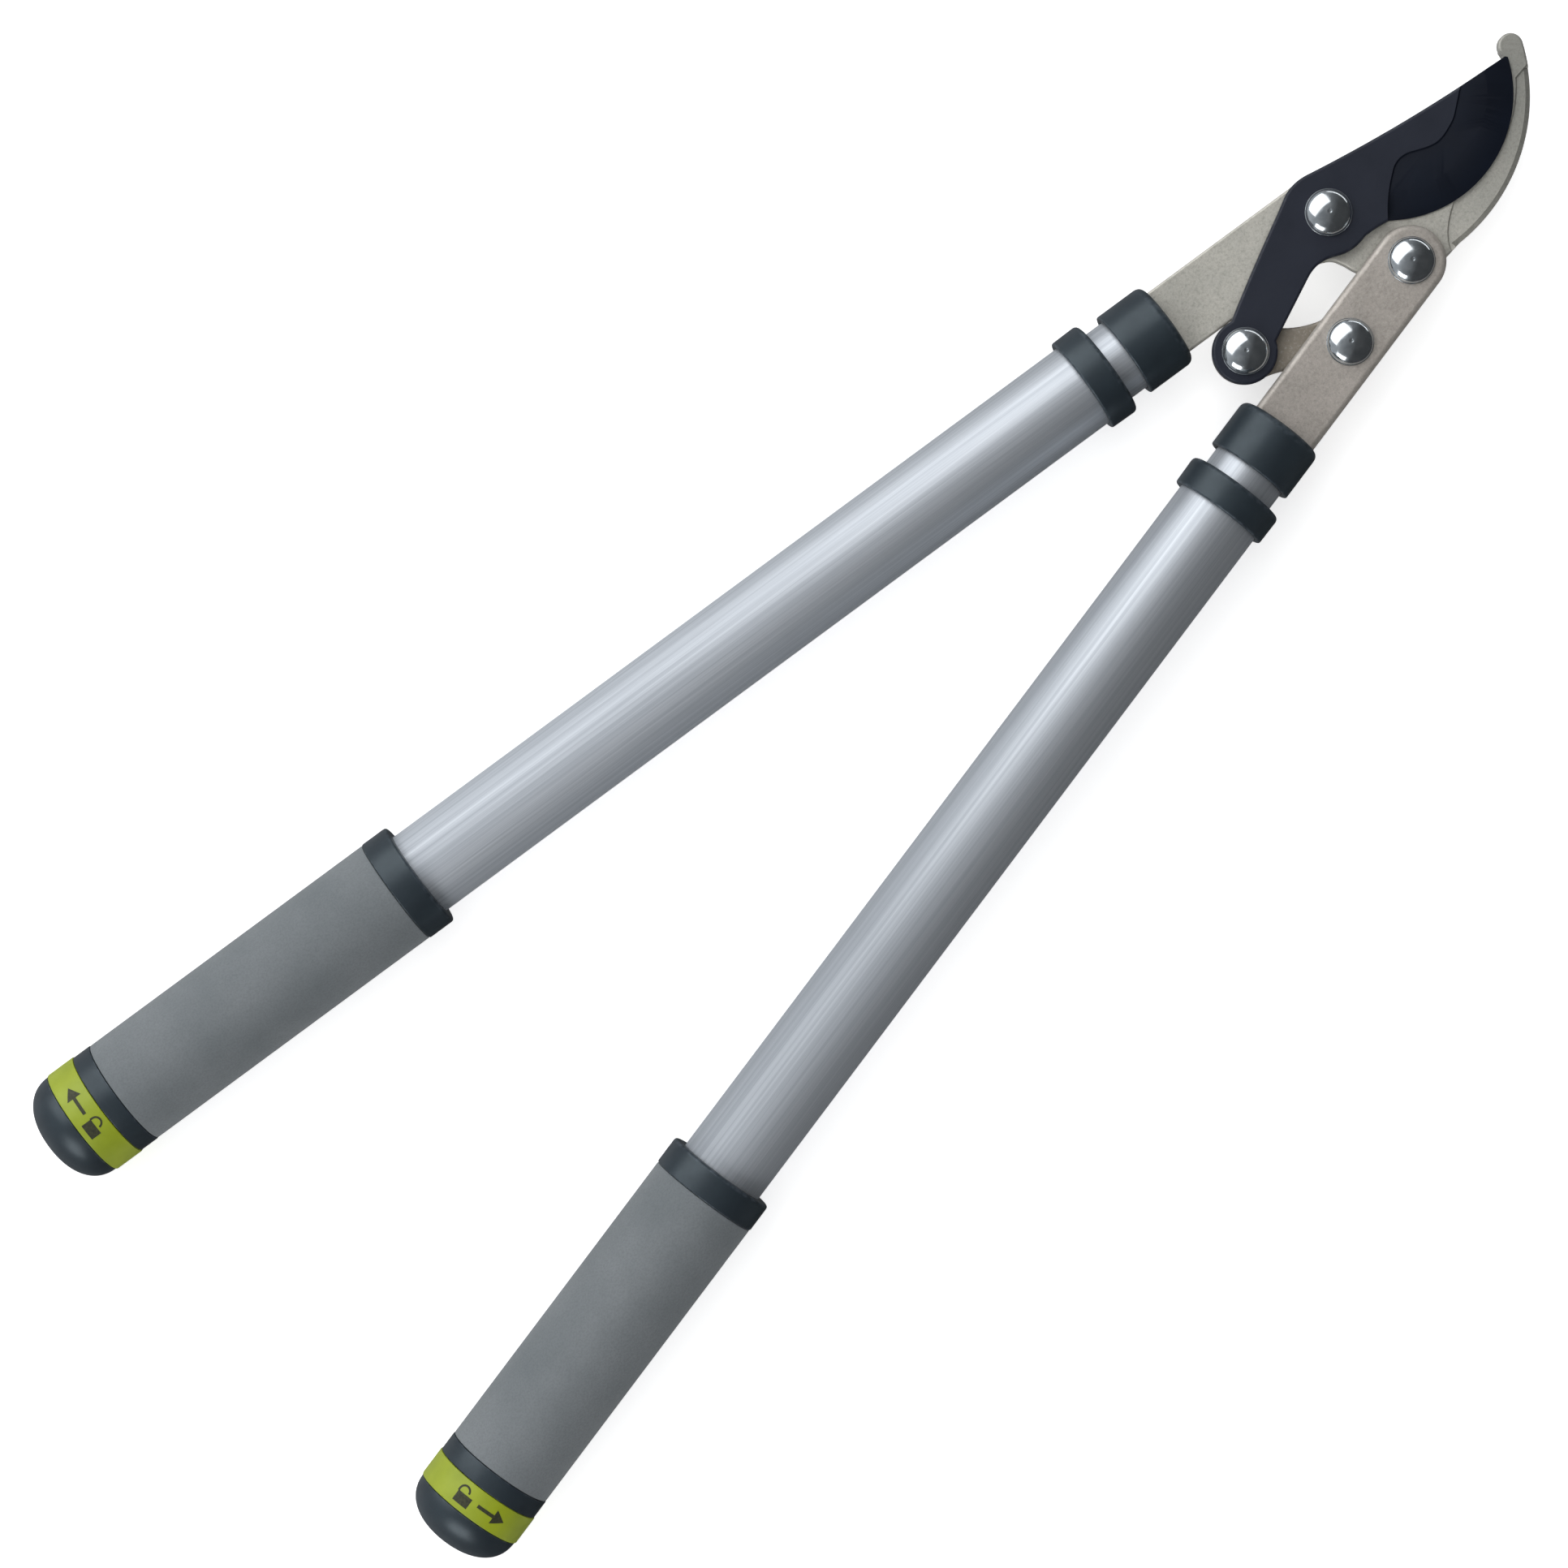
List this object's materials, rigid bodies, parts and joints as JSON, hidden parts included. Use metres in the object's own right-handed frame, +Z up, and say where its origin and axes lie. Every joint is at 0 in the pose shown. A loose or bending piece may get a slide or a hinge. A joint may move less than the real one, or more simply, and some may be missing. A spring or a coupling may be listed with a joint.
{
  "type": "bypass loppers",
  "caption": "Telescopic bypass loppers with a compound linkage head, curved hook and coated blade, twist-lock aluminium handles and soft grey grips, shown closed and pushed together.",
  "frame": {"origin": "the main pivot's axis, at the free end of the main pivot bolt", "axes": "+X halves the angle between the handles and points to the jaws, +Y points to the hook's handle, +Z points up along the pivots to the domed bolt heads"},
  "size_m": [0.6528, 0.2362, 0.0473],
  "materials": {
    "blasted_steel": "bead-blasted, satin",
    "coated_steel": "dark blue-black non-stick coating",
    "polished_steel": "polished",
    "zinc_steel": "zinc plated",
    "tube_aluminium": "polished, drawn lengthwise",
    "black_plastic": "fine grained, dark grey-black",
    "inner_plastic": "plain moulded",
    "grey_rubber": "soft, matt grey",
    "lime_plastic": "lime green, satin, with a dark printed arrow and padlock"
  },
  "bodies": {
    "hook_side": {"hook_plate": "blasted_steel", "main_pivot_bolt": "polished_steel", "main_pivot_washer": "zinc_steel", "main_pivot_nut": "zinc_steel", "lever_pivot_bolt": "polished_steel", "lever_pivot_washer": "zinc_steel", "lever_pivot_nut": "zinc_steel", "left_collar": "black_plastic", "left_tang_insert": "inner_plastic", "left_tang_pin_front": "zinc_steel", "left_tang_pin_rear": "zinc_steel", "left_inner_tube": "tube_aluminium", "left_lock_plug": "inner_plastic", "left_lock_stop_nut": "zinc_steel"},
    "lever_side": {"lever_plate": "blasted_steel", "link_front_bolt": "polished_steel", "link_front_washer": "zinc_steel", "link_front_nut": "zinc_steel", "right_collar": "black_plastic", "right_tang_insert": "inner_plastic", "right_tang_pin_front": "zinc_steel", "right_tang_pin_rear": "zinc_steel", "right_inner_tube": "tube_aluminium", "right_lock_plug": "inner_plastic", "right_lock_stop_nut": "zinc_steel"},
    "blade": {"blade": "coated_steel", "link_rear_bolt": "polished_steel", "link_rear_washer": "zinc_steel", "link_rear_nut": "zinc_steel"},
    "link": {"link_plate": "blasted_steel"},
    "left_lock": {"left_lock_collet": "inner_plastic", "left_lock_cone": "inner_plastic"},
    "left_grip": {"left_guide_ring": "black_plastic", "left_outer_tube": "tube_aluminium", "left_grip_core": "black_plastic", "left_grip_sleeve": "grey_rubber", "left_twist_band": "lime_plastic", "left_end_cap": "black_plastic"},
    "right_lock": {"right_lock_collet": "inner_plastic", "right_lock_cone": "inner_plastic"},
    "right_grip": {"right_guide_ring": "black_plastic", "right_outer_tube": "tube_aluminium", "right_grip_core": "black_plastic", "right_grip_sleeve": "grey_rubber", "right_twist_band": "lime_plastic", "right_end_cap": "black_plastic"}
  },
  "joints": [
    {"name": "lever_pivot", "type": "hinge", "parent": "hook_side", "child": "lever_side", "pos_m": [0.00897, -0.0329, 0.0152], "axis": [0, 0, 1], "range_deg": [0, 65]},
    {"name": "blade_pivot", "type": "hinge", "parent": "hook_side", "child": "blade", "pos_m": [0, 0, 0.0152], "axis": [0, 0, 1], "range_deg": [0, 41.1]},
    {"name": "link_pivot", "type": "hinge", "parent": "lever_side", "child": "link", "pos_m": [-0.02695, -0.03816, 0.0152], "axis": [0, 0, 1], "range_deg": [-60.6, 0]},
    {"name": "left_twist", "type": "hinge", "parent": "hook_side", "child": "left_lock", "pos_m": [-0.46542, 0.07078, 0.01235], "axis": [-0.9894, 0.145, 0], "range_deg": [0, 90]},
    {"name": "left_slide", "type": "slide", "parent": "left_lock", "child": "left_grip", "axis": [-0.9894, 0.145, 0], "range_m": [0, 0.355]},
    {"name": "right_twist", "type": "hinge", "parent": "lever_side", "child": "right_lock", "pos_m": [-0.46335, -0.10103, 0.0178], "axis": [0.9894, 0.145, 0], "range_deg": [0, 90]},
    {"name": "right_slide", "type": "slide", "parent": "right_lock", "child": "right_grip", "axis": [-0.9894, -0.145, 0], "range_m": [0, 0.355]}
  ],
  "couplings": [
    {"joint": "blade_pivot", "follows": "lever_pivot", "ratio": 0.6317},
    {"joint": "link_pivot", "follows": "lever_pivot", "ratio": -0.9313}
  ]
}
